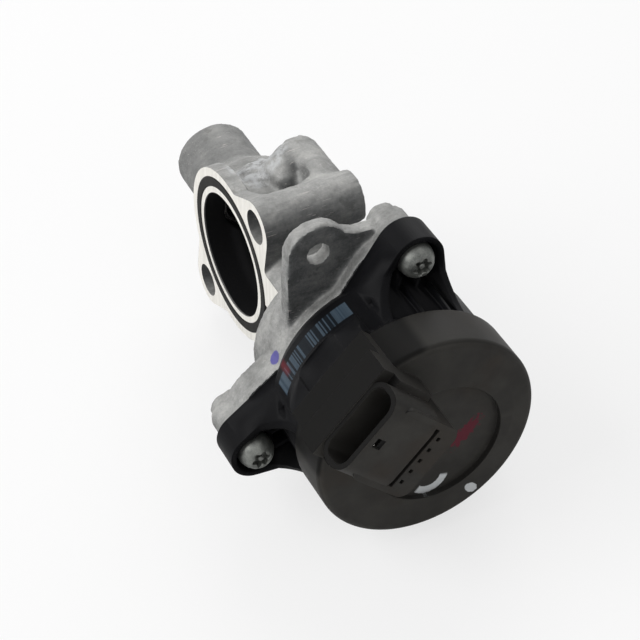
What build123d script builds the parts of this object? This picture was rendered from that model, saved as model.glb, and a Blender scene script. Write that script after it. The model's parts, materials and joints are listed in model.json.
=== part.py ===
"""Exhaust gas recirculation valve: cast body, poppet on a lead screw, and a round motor housing.

The bore axis is X (the flange faces -X), the stem axis is parallel to Y (the cover faces -Y),
and Z is up. The origin is the centre of the bore in the flange face. Along the stem axis,
heights are counted from the bore axis, positive towards the cover.
"""

from build123d import *
import os
from math import cos, radians, sin

os.makedirs("parts", exist_ok=True)

# ---- driving dimensions, millimetres ----
running_clearance = 0.06  # radial, shafts in their bushes and threads
part_gap = 0.3  # between parts that pass each other
mould_gap = 0.1  # between parts dropped into one another

# bore, flange and its bolts
bore_r = 16.6
chamber_r = 15.2  # behind the mouth
bore_mouth = 7.0
bore_depth = 24.0
chamber_outer_r = 19.8
chamber_end = 28.0
flange_r = 23.2
flange_thick = 4.6
lip_r = 18.2  # outer edge of the rim round the bore
groove_r = 20.9
groove_depth = 2.4
bolt_pcd = 54.4
bolt_angle = 38.7  # of the upper bolt, from Z towards the cover
bolt_hole_r = 4.5
boss_r = 6.75
column_length = 27.0

# stem axis, inlet stub and seat
axis_x = 13.0
stub_r = 10.2
stub_bore_r = 8.2
stub_end = 41.0  # distance of the stub's end from the bore axis
seat_face = 22.0
seat_height = 4.5
seat_r = 8.6
seat_bore_r = 6.2
seat_bevel = 0.9
lift = 6.0

# neck, drum and plate of the casting
neck_r = 16.0
drum_r = 23.6
drum_low = 36.0
plate_low = 43.5
plate_top = 47.5
pad_top = 51.0
pad_margin = 0.3
pad_taper = -9.0  # the pad widens upwards
arm_root_r = 18.8  # circle that the arms' straight sides run to
web_edge_z = 37.3  # upper edge of the plate between lug and ear
screw_boss_r = 5.6
screw_boss_low = 40.6
lug_x = 2.6
lug_z = 34.2
lug_r = 7.8
lug_hole_r = 2.75
rear_boss_x = 20.2
rear_boss_z = 18.4
rear_boss_r = 8.3
rear_boss_back = 6.0
scallop_x = 12.0  # hollow along the boss, on the side of the stub
scallop_z = 25.4
scallop_r = 6.6
face_block_low = -1.0
face_block_high = 9.3
face_block_reach = 27.0

# stem, guide and spring
stem_r = 3.0
guide_low = 17.0
guide_high = 33.0
guide_r = 5.5
seal_pocket_r = 7.0
seal_height = 3.6
cap_height = 1.4
spring_pocket_r = 15.6
spring_r = 11.0
spring_wire = 1.8
spring_turns = 4
retainer_r = 13.4
retainer_thick = 1.5
stem_top = 56.0
collet_height = 5.0

# actuator
clocking = 45.0  # connector's long side, from X towards Z
screw_pcd = 69.0
screw_count = 3
first_screw = 30.0
screw_r = 2.5
screw_head_r = 4.4
screw_head_height = 5.0
screw_head_fillet = 0.9
lobe_r = 1.75
sleeve_r = 3.5
ear_r = 6.8
ear_top = 59.5
ear_seat = 56.8
ear_wall = 1.9
housing_r = 26.4
barrel_foot_r = 24.3
barrel_low = 53.4
rib_thick = 1.1
shoulder = 69.5
wall_height = 6.5  # of the housing inside the cover
floor_low = 57.2
floor_high = 59.6
cover_r = 28.0
cover_depth = 12.3
cover_wall = 1.7
dish_r = 16.6
dish_shift = -3.6
dish_depth = 1.5
cover_rim_fillet = 1.6

# connector
connector_half = 11.0
connector_mouth = 31.0
connector_rise = 3.4  # from the cover's face to the shroud
connector_height = 10.3
connector_corner = 4.4
connector_wall = 1.3
collar_drop = 7.2  # step of the tower under the shroud
collar_reach = 31.4
connector_back = 16.4
socket_depth = 14.5
block_half = 10.3
block_end = 8.6
tower_half = 12.6
tower_face = 27.8
tower_low = 60.4
panel_half = 6.4  # recess on the tower
panel_low = 61.6
panel_high = 68.6
panel_depth = 0.7
pin_setback = 8.6
latch_size = 2.5
slot_length = 17.0
slot_width = 1.3
code_hole = 1.0
pin_count = 5
pin_pitch = 3.2
pin_thick = 0.8

# motor
screw_thread_r = 4.0
screw_flat = 3.1
nut_r = 8.0
nut_journal_r = 6.0
magnet_r = 12.4
magnet_height = 8.4
bearing_width = 3.4
bearing_race = 1.5
bearing_r = 11.0
ball_count = 9
stator_r = 22.0
stator_yoke = 3.2
tooth_count = 6
tooth_width = 5.0
air_gap = 0.7
coil_thick = 1.6
bridge_thick = 1.0
board_thick = 1.2
board_r = 20.5
spacer_r = 1.4
spacer_inset = 2.0
chip_width = 6.0
chip_depth = 4.6
chip_height = 1.4

# ---- planes and axes shared by the parts ----
stem_axis = Axis((axis_x, 0, 0), (0, -1, 0))
bore_axis = Axis((0, 0, 0), (1, 0, 0))
turning = Plane(origin=(axis_x, 0, 0), x_dir=(1, 0, 0), z_dir=(0, 0, -1))  # (radius, height)
bore_turning = Plane(origin=(0, 0, 0), x_dir=(0, 0, 1), z_dir=(0, 1, 0))  # (radius, depth)

clock_x, clock_z = cos(radians(clocking)), sin(radians(clocking))


def level(height):
    """Plane square to the stem axis: x along the connector's long side, y towards its mouth."""
    return Plane(origin=(axis_x, -height, 0), x_dir=(clock_x, 0, clock_z), z_dir=(0, -1, 0))


def section(across):
    """Plane through the stem axis square to the connector's long side: (towards mouth, height)."""
    origin = (axis_x + across * clock_x, 0, across * clock_z)
    return Plane(origin=origin, x_dir=(-clock_z, 0, clock_x), z_dir=(clock_x, 0, clock_z))


def facing(reach):
    """Plane square to the connector's mouth: x along its long side, y along the stem axis."""
    origin = (axis_x - reach * clock_z, 0, reach * clock_x)
    return Plane(origin=origin, x_dir=(clock_x, 0, clock_z), z_dir=(clock_z, 0, -clock_x))


def clocked(x, z):
    """Place of a point of the XZ plane on a level plane."""
    dx, dz = x - axis_x, z
    return dx * clock_x + dz * clock_z, -dx * clock_z + dz * clock_x


def ring(inner, outer, low, high):
    """Plain ring about the stem axis."""
    with BuildPart() as made:
        with BuildSketch(turning):
            with Locations(((inner + outer) / 2, (low + high) / 2)):
                Rectangle(outer - inner, high - low)
        revolve(axis=stem_axis)
    return made.part


bolt_y = -bolt_pcd / 2 * sin(radians(bolt_angle))
bolt_z = bolt_pcd / 2 * cos(radians(bolt_angle))
bolt_places = [(bolt_y, bolt_z), (-bolt_y, -bolt_z)]
face_plane = Plane(origin=(0, 0, 0), x_dir=(0, 1, 0), z_dir=(1, 0, 0))  # (Y, Z)

screw_ring_r = screw_pcd / 2
screw_angles = [first_screw + index * 360 / screw_count for index in range(screw_count)]
screw_places = [(screw_ring_r * cos(radians(a)), screw_ring_r * sin(radians(a))) for a in screw_angles]
lug_place = clocked(lug_x, lug_z)
upper_ear_x = axis_x + screw_places[0][0] * clock_x - screw_places[0][1] * clock_z
upper_ear_z = screw_places[0][0] * clock_z + screw_places[0][1] * clock_x

seat_back = -seat_face  # heights below the bore axis are negative
seat_front = seat_back + seat_height
seal_low = guide_high
cap_low = seal_low + seal_height
spring_low = cap_low + cap_height
retainer_low = stem_top - collet_height + 1.0
cover_top = shoulder + cover_depth
wall_top = shoulder + wall_height
connector_low = cover_top + connector_rise
connector_top = connector_low + connector_height
rotor_low = floor_high + bearing_width + 2 * part_gap
rotor_high = rotor_low + magnet_height
cut_reach = 40.0
seal_ring_height = 1.4
seal_ring_inner = 17.6
seal_ring_outer = 19.6

# ---- cast body ----
with BuildPart() as valve_body:
    with BuildSketch(face_plane):  # flange with two ears
        Circle(flange_r)
        for place in bolt_places:
            with BuildSketch(face_plane, mode=Mode.PRIVATE) as ear_outline:
                Circle(lip_r)
                with Locations(place):
                    Circle(boss_r)
                make_hull()
            add(ear_outline.sketch_local)
    extrude(amount=flange_thick)
    with BuildSketch(bore_turning):  # gas chamber behind the flange
        with BuildLine():
            Polyline((0, 0), (chamber_outer_r, 0), (chamber_outer_r, chamber_end - 5))
            TangentArc(
                (chamber_outer_r, chamber_end - 5), (chamber_outer_r - 5, chamber_end), tangent=(0, 1)
            )
            Polyline((chamber_outer_r - 5, chamber_end), (0, chamber_end), (0, 0))
        make_face()
    revolve(axis=bore_axis)
    for place in bolt_places:  # long bolt columns
        with BuildSketch(face_plane):
            with Locations(place):
                Circle(boss_r)
        extrude(amount=column_length)
    with BuildSketch(turning):  # inlet stub and neck
        with BuildLine():
            Polyline(
                (0, -stub_end),
                (stub_r - 0.8, -stub_end),
                (stub_r, -stub_end + 0.8),
                (stub_r, -chamber_outer_r - 4),
                (stub_r + 4, -chamber_outer_r + 2),
                (neck_r, 0),
                (neck_r, drum_low + 1),
                (0, drum_low + 1),
                close=True,
            )
        make_face()
    revolve(axis=stem_axis)
    with Locations((-cut_reach / 2, (stub_end + 1 - drum_low) / 2, 0)):  # nothing before the flange face
        Box(cut_reach, stub_end + 1 + drum_low, 2 * cut_reach, mode=Mode.SUBTRACT)
    with BuildSketch(turning):  # drum
        with BuildLine():
            Polyline(
                (0, drum_low),
                (drum_r - 0.8, drum_low),
                (drum_r, drum_low + 0.8),
                (drum_r, pad_top - 1),
                (0, pad_top - 1),
                close=True,
            )
        make_face()
    revolve(axis=stem_axis)
    with BuildSketch(Plane.XY.offset(face_block_low)):  # web from the flange face to the drum
        with BuildLine():
            Polyline(
                (0, -flange_r + 4),
                (0, -face_block_reach),
                (axis_x - neck_r, -drum_low),
                (axis_x - neck_r, -drum_low - 4),
                (axis_x, -drum_low - 4),
                (axis_x, -flange_r + 4),
                close=True,
            )
        make_face()
    extrude(amount=face_block_high - face_block_low)
    with BuildSketch(level(plate_low)):  # plate with the bracket lug
        with BuildSketch(mode=Mode.PRIVATE) as lug_outline:
            Circle(drum_r - 4)
            with Locations(lug_place):
                Circle(lug_r)
            make_hull()
        add(lug_outline.sketch_local)
        with BuildLine():  # web from the lug to the upper ear
            Polyline(
                clocked(lug_x, web_edge_z),
                clocked(upper_ear_x, web_edge_z),
                clocked(upper_ear_x, upper_ear_z - drum_r / 2),
                clocked(lug_x, upper_ear_z - drum_r / 2),
                close=True,
            )
        make_face()
        for place in screw_places:
            with BuildSketch(mode=Mode.PRIVATE) as ear_outline:
                Circle(arm_root_r)
                with Locations(place):
                    Circle(ear_r + pad_margin)
                make_hull()
            add(ear_outline.sketch_local)
    extrude(amount=plate_top - plate_low)
    with BuildSketch(level(plate_top)):  # raised pad under the motor housing
        Circle(drum_r)
        for place in screw_places:
            with BuildSketch(mode=Mode.PRIVATE) as ear_outline:
                Circle(arm_root_r)
                with Locations(place):
                    Circle(ear_r + pad_margin)
                make_hull()
            add(ear_outline.sketch_local)
    extrude(amount=pad_top - plate_top, taper=pad_taper)
    for place in screw_places:  # screw bosses under the plate
        with BuildSketch(level(screw_boss_low)):
            with Locations(place):
                Circle(screw_boss_r)
        extrude(amount=plate_low + 1 - screw_boss_low)
    with BuildSketch(Plane.XZ.offset(-rear_boss_back)):  # boss on top of the chamber
        with Locations((rear_boss_x, rear_boss_z)):
            Circle(rear_boss_r)
    extrude(amount=rear_boss_back - bolt_y)
    with BuildSketch(Plane.XZ.offset(-rear_boss_back - 1)):
        with Locations((scallop_x, scallop_z)):
            Circle(scallop_r)
    extrude(amount=rear_boss_back + 1 - bolt_y - boss_r, mode=Mode.SUBTRACT)
    # openings
    with BuildSketch(bore_turning):
        with BuildLine():
            Polyline(
                (0, -1),
                (bore_r, -1),
                (bore_r, bore_mouth),
                (chamber_r, bore_mouth + 1.4),
                (chamber_r, bore_depth - 6),
                (chamber_r - 6, bore_depth),
                (0, bore_depth),
                close=True,
            )
        make_face()
    revolve(axis=bore_axis, mode=Mode.SUBTRACT)
    with BuildSketch(face_plane):  # seal groove
        Circle(groove_r)
        Circle(lip_r, mode=Mode.SUBTRACT)
    extrude(amount=groove_depth, mode=Mode.SUBTRACT)
    for place in bolt_places:  # bolt holes
        with BuildSketch(face_plane.offset(-1)):
            with Locations(place):
                Circle(bolt_hole_r)
        extrude(amount=column_length + 2, mode=Mode.SUBTRACT)
    with BuildSketch(turning):  # stub bore, seat pocket, guide bore and spring pocket
        with BuildLine():
            Polyline(
                (0, -stub_end - 1),
                (stub_bore_r, -stub_end - 1),
                (stub_bore_r, seat_back),
                (seat_r, seat_back),
                (seat_r, seat_front),
                (seat_bore_r + 0.8, seat_front),
                (seat_bore_r + 0.8, 0),
                (guide_r, 0),
                (guide_r, guide_high),
                (seal_pocket_r, guide_high),
                (seal_pocket_r, spring_low),
                (spring_pocket_r, spring_low),
                (spring_pocket_r, pad_top + 1),
                (0, pad_top + 1),
                close=True,
            )
        make_face()
    revolve(axis=stem_axis, mode=Mode.SUBTRACT)
    with BuildSketch(turning):  # groove for the housing seal
        with Locations(((seal_ring_inner + seal_ring_outer) / 2, pad_top - seal_ring_height / 2)):
            Rectangle(seal_ring_outer - seal_ring_inner, seal_ring_height)
    revolve(axis=stem_axis, mode=Mode.SUBTRACT)
    for place in screw_places:  # tapped holes
        with BuildSketch(level(plate_low - 2)):
            with Locations(place):
                Circle(screw_r)
        extrude(amount=pad_top - plate_low + 4, mode=Mode.SUBTRACT)
    with BuildSketch(level(plate_low - 1)):  # lug hole
        with Locations(lug_place):
            Circle(lug_hole_r)
    extrude(amount=plate_top - plate_low + 2, mode=Mode.SUBTRACT)
valve_body.part.label = "valve_body"
export_step(valve_body.part, "parts/valve_body.step")

# ---- flange seal ----
with BuildPart() as flange_seal:
    with BuildSketch(bore_turning):
        mid = (lip_r + groove_r) / 2
        half = (groove_r - lip_r) / 2
        with Locations((mid, groove_depth / 2 - 0.1)):
            RectangleRounded(2 * half, groove_depth + 0.2, 0.5)
    revolve(axis=bore_axis)
flange_seal.part.label = "flange_seal"
export_step(flange_seal.part, "parts/flange_seal.step")

# ---- seat ring ----
with BuildPart() as seat_ring:
    with BuildSketch(turning):
        with BuildLine():
            Polyline(
                (seat_bore_r + seat_bevel, seat_back),
                (seat_r, seat_back),
                (seat_r, seat_front),
                (seat_bore_r, seat_front),
                (seat_bore_r, seat_back + seat_bevel),
                close=True,
            )
        make_face()
    revolve(axis=stem_axis)
seat_ring.part.label = "seat_ring"
export_step(seat_ring.part, "parts/seat_ring.step")

# ---- poppet with its stem ----
head_r = seat_bore_r + seat_bevel + 0.5
head_face = seat_back - part_gap
groove_low = retainer_low + 1.6
with BuildPart() as poppet:
    with BuildSketch(turning):
        with BuildLine():
            Polyline(
                (0, head_face - 2.2),
                (head_r - 1.5, head_face - 2.2),
                (head_r, head_face - 0.9),
                (head_r, head_face),
                (head_r - 1.4, head_face),
                (stem_r + 0.6, head_face + 1.6),
                (stem_r, head_face + 3.2),
                (stem_r, groove_low),
                (stem_r - 0.5, groove_low + 0.3),
                (stem_r - 0.5, groove_low + 1.3),
                (stem_r, groove_low + 1.6),
                (stem_r, stem_top - 0.5),
                (stem_r - 0.5, stem_top),
                (0, stem_top),
                close=True,
            )
        make_face()
    revolve(axis=stem_axis)
poppet.part.label = "poppet"
export_step(poppet.part, "parts/poppet.step")

# ---- stem guide, seal and seal cap ----
with BuildPart() as stem_guide:
    add(ring(stem_r + running_clearance, guide_r, guide_low, guide_high))
stem_guide.part.label = "stem_guide"
export_step(stem_guide.part, "parts/stem_guide.step")

with BuildPart() as stem_seal:
    with BuildSketch(turning):
        with BuildLine():
            Polyline(
                (stem_r + running_clearance, seal_low + 1.2),
                (stem_r + 1.4, seal_low),
                (seal_pocket_r, seal_low),
                (seal_pocket_r, cap_low),
                (stem_r + 1.8, cap_low),
                (stem_r + running_clearance, cap_low - 1.0),
                close=True,
            )
        make_face()
    revolve(axis=stem_axis)
stem_seal.part.label = "stem_seal"
export_step(stem_seal.part, "parts/stem_seal.step")

with BuildPart() as seal_cap:
    add(ring(stem_r + 0.6, seal_pocket_r, cap_low, spring_low))
seal_cap.part.label = "seal_cap"
export_step(seal_cap.part, "parts/seal_cap.step")

# ---- return spring ----
spring_height = retainer_low - spring_low
with BuildPart() as return_spring:
    pitch = (spring_height - spring_wire - 0.2) / spring_turns
    coil_start = (axis_x, -spring_low - spring_wire / 2 - 0.1, 0)
    with BuildLine() as coil:
        Helix(pitch, pitch * spring_turns, spring_r, center=coil_start, direction=(0, -1, 0))
    with BuildSketch(Plane(origin=coil.line @ 0, z_dir=coil.line % 0)):
        Circle(spring_wire / 2)
    sweep(path=coil.line, is_frenet=True)
return_spring.part.label = "return_spring"
export_step(return_spring.part, "parts/return_spring.step")

# ---- spring retainer and its collets ----
collet_r = stem_r + 2.2
with BuildPart() as spring_retainer:
    with BuildSketch(turning):
        with BuildLine():
            Polyline(
                (collet_r, retainer_low - 1.5),
                (collet_r + 1.4, retainer_low - 1.5),
                (collet_r + 1.4, retainer_low),
                (retainer_r, retainer_low),
                (retainer_r, retainer_low + retainer_thick),
                (collet_r + 1.4, retainer_low + retainer_thick),
                (collet_r + 1.4, retainer_low + 3.4),
                (collet_r, retainer_low + 3.4),
                close=True,
            )
        make_face()
    revolve(axis=stem_axis)
spring_retainer.part.label = "spring_retainer"
export_step(spring_retainer.part, "parts/spring_retainer.step")

with BuildPart() as collets:
    with BuildSketch(turning):
        with BuildLine():
            Polyline(
                (stem_r + 0.02, retainer_low - 1.0),
                (collet_r, retainer_low - 1.0),
                (collet_r, retainer_low + 3.4),
                (stem_r + 0.02, retainer_low + 3.4),
                close=True,
            )
        make_face()
    revolve(axis=stem_axis)
    with BuildSketch(level(retainer_low - 2)):
        Rectangle(2 * collet_r + 2, 0.8)
    extrude(amount=collet_height + 3, mode=Mode.SUBTRACT)
collets.part.label = "collets"
export_step(collets.part, "parts/collets.step")

# ---- seal between body and motor housing ----
with BuildPart() as housing_seal:
    add(ring(seal_ring_inner, seal_ring_outer, pad_top - seal_ring_height, pad_top))
housing_seal.part.label = "housing_seal"
export_step(housing_seal.part, "parts/housing_seal.step")

# ---- motor housing ----
stator_seat_r = stator_r + mould_gap
with BuildPart() as motor_housing:
    with BuildSketch(turning):  # barrel
        with BuildLine():
            Polyline(
                (0, pad_top),
                (barrel_foot_r, pad_top),
                (housing_r - 0.4, barrel_low),
                (housing_r, barrel_low + 0.8),
                (housing_r, shoulder),
                (0, shoulder),
                close=True,
            )
        make_face()
    revolve(axis=stem_axis)
    with BuildSketch(level(shoulder - 1.2)):  # flange under the cover
        Circle(cover_r - 0.6)
    extrude(amount=1.2)
    with BuildSketch(level(shoulder)):  # wall inside the cover
        Circle(cover_r - cover_wall - mould_gap)
    extrude(amount=wall_top - shoulder)
    with BuildPart(mode=Mode.PRIVATE) as arm_envelope:
        with BuildSketch(turning):
            with BuildLine():
                Polyline((0, pad_top), (60, pad_top), (60, ear_top), (screw_ring_r - 2.0, ear_top))
                RadiusArc((screw_ring_r - 2.0, ear_top), (cover_r - 1.2, shoulder - 1.0), 12)
                Polyline((cover_r - 1.2, shoulder - 1.0), (0, shoulder - 1.0), (0, pad_top))
            make_face()
        revolve(axis=stem_axis)
    for angle, place in zip(screw_angles, screw_places):
        with BuildPart(mode=Mode.PRIVATE) as arm:
            with BuildSketch(level(pad_top)):
                Circle(arm_root_r)
                with Locations(place):
                    Circle(ear_r)
                make_hull()
            extrude(amount=shoulder - pad_top)
            add(arm_envelope.part, mode=Mode.INTERSECT)
        add(arm.part)
    with BuildSketch(level(tower_low)):  # block under the connector
        with Locations((0, tower_face - 0.6 - 7)):
            Rectangle(2 * tower_half, 14)
    extrude(amount=shoulder - tower_low)
    with BuildSketch(facing(tower_face + 0.4)):  # recessed panel
        with Locations((0, (panel_low + panel_high) / 2)):
            Rectangle(2 * panel_half, panel_high - panel_low)
    extrude(amount=panel_depth + 1.0, mode=Mode.SUBTRACT)
    # inside
    with BuildSketch(turning):
        with BuildLine():
            Polyline(
                (0, pad_top - 1),
                (spring_pocket_r - 1.2, pad_top - 1),
                (spring_pocket_r - 1.2, floor_low - 1),
                (spring_pocket_r - 2.2, floor_low),
                (0, floor_low),
                close=True,
            )
        make_face()
    revolve(axis=stem_axis, mode=Mode.SUBTRACT)
    with BuildSketch(turning):
        with BuildLine():
            Polyline(
                (0, floor_high),
                (bearing_r, floor_high),
                (bearing_r, floor_high + bearing_width),
                (stator_seat_r, floor_high + bearing_width),
                (stator_seat_r, wall_top + 1),
                (0, wall_top + 1),
                close=True,
            )
        make_face()
    revolve(axis=stem_axis, mode=Mode.SUBTRACT)
    with BuildSketch(level(floor_low - 1)):  # double-D guide for the lead screw
        Circle(screw_thread_r + mould_gap)
        Rectangle(2 * (screw_thread_r + 1), 2 * (screw_flat + mould_gap), mode=Mode.INTERSECT)
    extrude(amount=floor_high - floor_low + 2, mode=Mode.SUBTRACT)
    for place in screw_places:  # sleeve holes and screw head pockets
        with BuildSketch(level(pad_top - 1)):
            with Locations(place):
                Circle(sleeve_r)
        extrude(amount=ear_seat - pad_top + 2, mode=Mode.SUBTRACT)
        with BuildSketch(level(ear_seat)):
            with Locations(place):
                Circle(ear_r - ear_wall + 0.5)
        extrude(amount=shoulder - ear_seat, mode=Mode.SUBTRACT)
    for angle, place in zip(screw_angles, screw_places):  # pocketed arms with two ribs
        with BuildPart(mode=Mode.PRIVATE) as pocket:
            with BuildSketch(level(pad_top + 2.2)):
                Circle(arm_root_r - ear_wall)
                with Locations(place):
                    Circle(ear_r - ear_wall)
                make_hull()
                Circle(housing_r, mode=Mode.SUBTRACT)
                with Locations(place):
                    Circle(ear_r - ear_wall + 0.5, mode=Mode.SUBTRACT)
            extrude(amount=shoulder - pad_top)
            for side in (-1, 1):
                with BuildSketch(level(pad_top)):
                    with Locations(Location((0, 0), angle)):
                        with Locations((screw_ring_r - 6, side * 2.6)):
                            Rectangle(20, rib_thick)
                extrude(amount=ear_seat + 1.4 - pad_top, mode=Mode.SUBTRACT)
        add(pocket.part, mode=Mode.SUBTRACT)
motor_housing.part.label = "motor_housing"
export_step(motor_housing.part, "parts/motor_housing.step")

# ---- compression sleeves and housing screws ----
with BuildPart() as ear_sleeves:
    for place in screw_places:
        with BuildSketch(level(pad_top)):
            with Locations(place):
                Circle(sleeve_r)
                Circle(screw_r + 0.25, mode=Mode.SUBTRACT)
        extrude(amount=ear_seat - pad_top)
ear_sleeves.part.label = "ear_sleeves"
export_step(ear_sleeves.part, "parts/ear_sleeves.step")

with BuildPart() as housing_screws:
    for place in screw_places:
        with BuildSketch(level(plate_low - 1.5)):
            with Locations(place):
                Circle(screw_r)
        extrude(amount=ear_seat - plate_low + 1.5)
        with BuildSketch(level(ear_seat)):
            with Locations(place):
                Circle(screw_head_r)
        extrude(amount=screw_head_height)
    fillet(housing_screws.faces().group_by(Axis.Y)[0].edges(), screw_head_fillet)
    for place in screw_places:
        with BuildSketch(level(ear_seat + screw_head_height - 1.5)):
            with Locations(place):
                Circle(lobe_r)
                with PolarLocations(lobe_r - 0.1, 6):
                    Circle(0.45)
                Circle(0.65, mode=Mode.SUBTRACT)
        extrude(amount=2.0, mode=Mode.SUBTRACT)
housing_screws.part.label = "housing_screws"
export_step(housing_screws.part, "parts/housing_screws.step")

# ---- lead screw ----
screw_low = stem_top + 0.2
screw_high = rotor_high - 0.5
with BuildPart() as lead_screw:
    with BuildSketch(level(screw_low)):
        Circle(screw_thread_r)
        Rectangle(2 * (screw_thread_r + 1), 2 * screw_flat, mode=Mode.INTERSECT)
    extrude(amount=floor_high + lift - screw_low)
    with BuildSketch(level(floor_high + lift)):
        Circle(screw_thread_r)
    extrude(amount=screw_high - floor_high - lift)
    chamfer(lead_screw.faces().sort_by(Axis.Y)[0].edges(), 0.5)
lead_screw.part.label = "lead_screw"
export_step(lead_screw.part, "parts/lead_screw.step")

# ---- rotor: nut and magnet ----
upper_bearing = rotor_high + 0.4
rotor_top = upper_bearing + bearing_width
with BuildPart() as rotor_nut:
    with BuildSketch(turning):
        bore = screw_thread_r + running_clearance
        with BuildLine():
            Polyline(
                (bore, floor_high + part_gap),
                (nut_journal_r, floor_high + part_gap),
                (nut_journal_r, floor_high + bearing_width),
                (nut_r, floor_high + bearing_width),
                (nut_r, rotor_high + 0.4),
                (nut_journal_r, rotor_high + 0.4),
                (nut_journal_r, rotor_top),
                (bore, rotor_top),
                close=True,
            )
        make_face()
    revolve(axis=stem_axis)
rotor_nut.part.label = "rotor_nut"
export_step(rotor_nut.part, "parts/rotor_nut.step")

with BuildPart() as rotor_magnet:
    add(ring(nut_r, magnet_r, rotor_low, rotor_high))
rotor_magnet.part.label = "rotor_magnet"
export_step(rotor_magnet.part, "parts/rotor_magnet.step")

# ---- ball bearings: inner ring, outer ring and balls ----
inner_race_r = nut_journal_r + bearing_race
outer_race_r = bearing_r - bearing_race
ball_ring_r = (inner_race_r + outer_race_r) / 2
ball_r = (outer_race_r - inner_race_r) / 2 - 0.05
for name, low in (("lower", floor_high), ("upper", upper_bearing)):
    with BuildPart() as inner_race:
        add(ring(nut_journal_r, inner_race_r, low + part_gap, low + bearing_width))
    inner_race.part.label = name + "_bearing_inner"
    export_step(inner_race.part, "parts/" + name + "_bearing_inner.step")
    with BuildPart() as outer_race:
        add(ring(outer_race_r, bearing_r, low, low + bearing_width))
    outer_race.part.label = name + "_bearing_outer"
    export_step(outer_race.part, "parts/" + name + "_bearing_outer.step")
    with BuildPart() as bearing_balls:
        with Locations(level(low + bearing_width / 2)):
            with PolarLocations(ball_ring_r, ball_count):
                Sphere(ball_r)
    bearing_balls.part.label = name + "_bearing_balls"
    export_step(bearing_balls.part, "parts/" + name + "_bearing_balls.step")

# ---- stator ----
stator_low = floor_high + bearing_width
stator_high = rotor_high - 0.6
tooth_in = magnet_r + air_gap
tooth_out = stator_r - stator_yoke
core_low = stator_low + coil_thick + 0.2
core_high = stator_high - coil_thick
with BuildPart() as stator_core:
    with BuildSketch(level(core_low)):
        Circle(stator_r)
        Circle(tooth_out, mode=Mode.SUBTRACT)
        with PolarLocations((tooth_in + tooth_out) / 2, tooth_count):
            Rectangle(tooth_out - tooth_in + 1.0, tooth_width)
        Circle(tooth_in, mode=Mode.SUBTRACT)
    extrude(amount=core_high - core_low)
    with BuildSketch(level(stator_low)):
        Circle(stator_r)
        Circle(stator_r - 1.2, mode=Mode.SUBTRACT)
    extrude(amount=upper_bearing - stator_low)
stator_core.part.label = "stator_core"
export_step(stator_core.part, "parts/stator_core.step")

coil_in = tooth_in + 1.2
coil_out = tooth_out - 0.5
with BuildPart() as stator_coils:
    with BuildSketch(level(core_low - coil_thick)):
        with PolarLocations((coil_in + coil_out) / 2, tooth_count):
            Rectangle(coil_out - coil_in, tooth_width + 2 * coil_thick)
    extrude(amount=core_high - core_low + 2 * coil_thick)
    with BuildSketch(level(core_low)):
        with PolarLocations((tooth_in + tooth_out) / 2, tooth_count):
            Rectangle(tooth_out - tooth_in + 2, tooth_width)
    extrude(amount=core_high - core_low, mode=Mode.SUBTRACT)
stator_coils.part.label = "stator_coils"
export_step(stator_coils.part, "parts/stator_coils.step")

# ---- bearing bridge over the stator ----
with BuildPart() as bearing_bridge:
    add(ring(bearing_r, stator_r, upper_bearing, upper_bearing + bridge_thick))
    add(ring(bearing_r, bearing_r + 1.2, upper_bearing, upper_bearing + bearing_width))
bearing_bridge.part.label = "bearing_bridge"
export_step(bearing_bridge.part, "parts/bearing_bridge.step")

# ---- sensor magnet, board, chips ----
board_low = rotor_top + 0.9
with BuildPart() as sensor_magnet:
    add(ring(screw_thread_r + 0.3, nut_journal_r, rotor_top, rotor_top + 0.5))
sensor_magnet.part.label = "sensor_magnet"
export_step(sensor_magnet.part, "parts/sensor_magnet.step")

pin_leg = connector_back - 1.5  # how far the pins' legs stand towards the mouth
pin_places = [pin_pitch * (index - (pin_count - 1) / 2) for index in range(pin_count)]
with BuildPart() as circuit_board:
    with BuildSketch(level(board_low)):
        Circle(board_r)
        with Locations(*[(u, pin_leg) for u in pin_places]):
            Rectangle(pin_thick, pin_thick, mode=Mode.SUBTRACT)
    extrude(amount=board_thick)
circuit_board.part.label = "circuit_board"
export_step(circuit_board.part, "parts/circuit_board.step")

chip_ring_r = board_r - chip_width / 2 - spacer_inset / 2
chip_places = [(chip_ring_r * cos(radians(a)), chip_ring_r * sin(radians(a))) for a in (150, 270, 30)]
with BuildPart() as board_chips:
    with BuildSketch(level(board_low - chip_height)):
        with Locations(*chip_places):
            Rectangle(chip_width, chip_depth)
    extrude(amount=chip_height)
board_chips.part.label = "board_chips"
export_step(board_chips.part, "parts/board_chips.step")

with BuildPart() as board_spacers:
    for angle in (90, 210, 330):
        with BuildSketch(level(upper_bearing + bridge_thick)):
            with Locations(Location((0, 0), angle)):
                with Locations((board_r - spacer_inset, 0)):
                    Circle(spacer_r)
        extrude(amount=board_low - upper_bearing - bridge_thick)
board_spacers.part.label = "board_spacers"
export_step(board_spacers.part, "parts/board_spacers.step")

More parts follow.
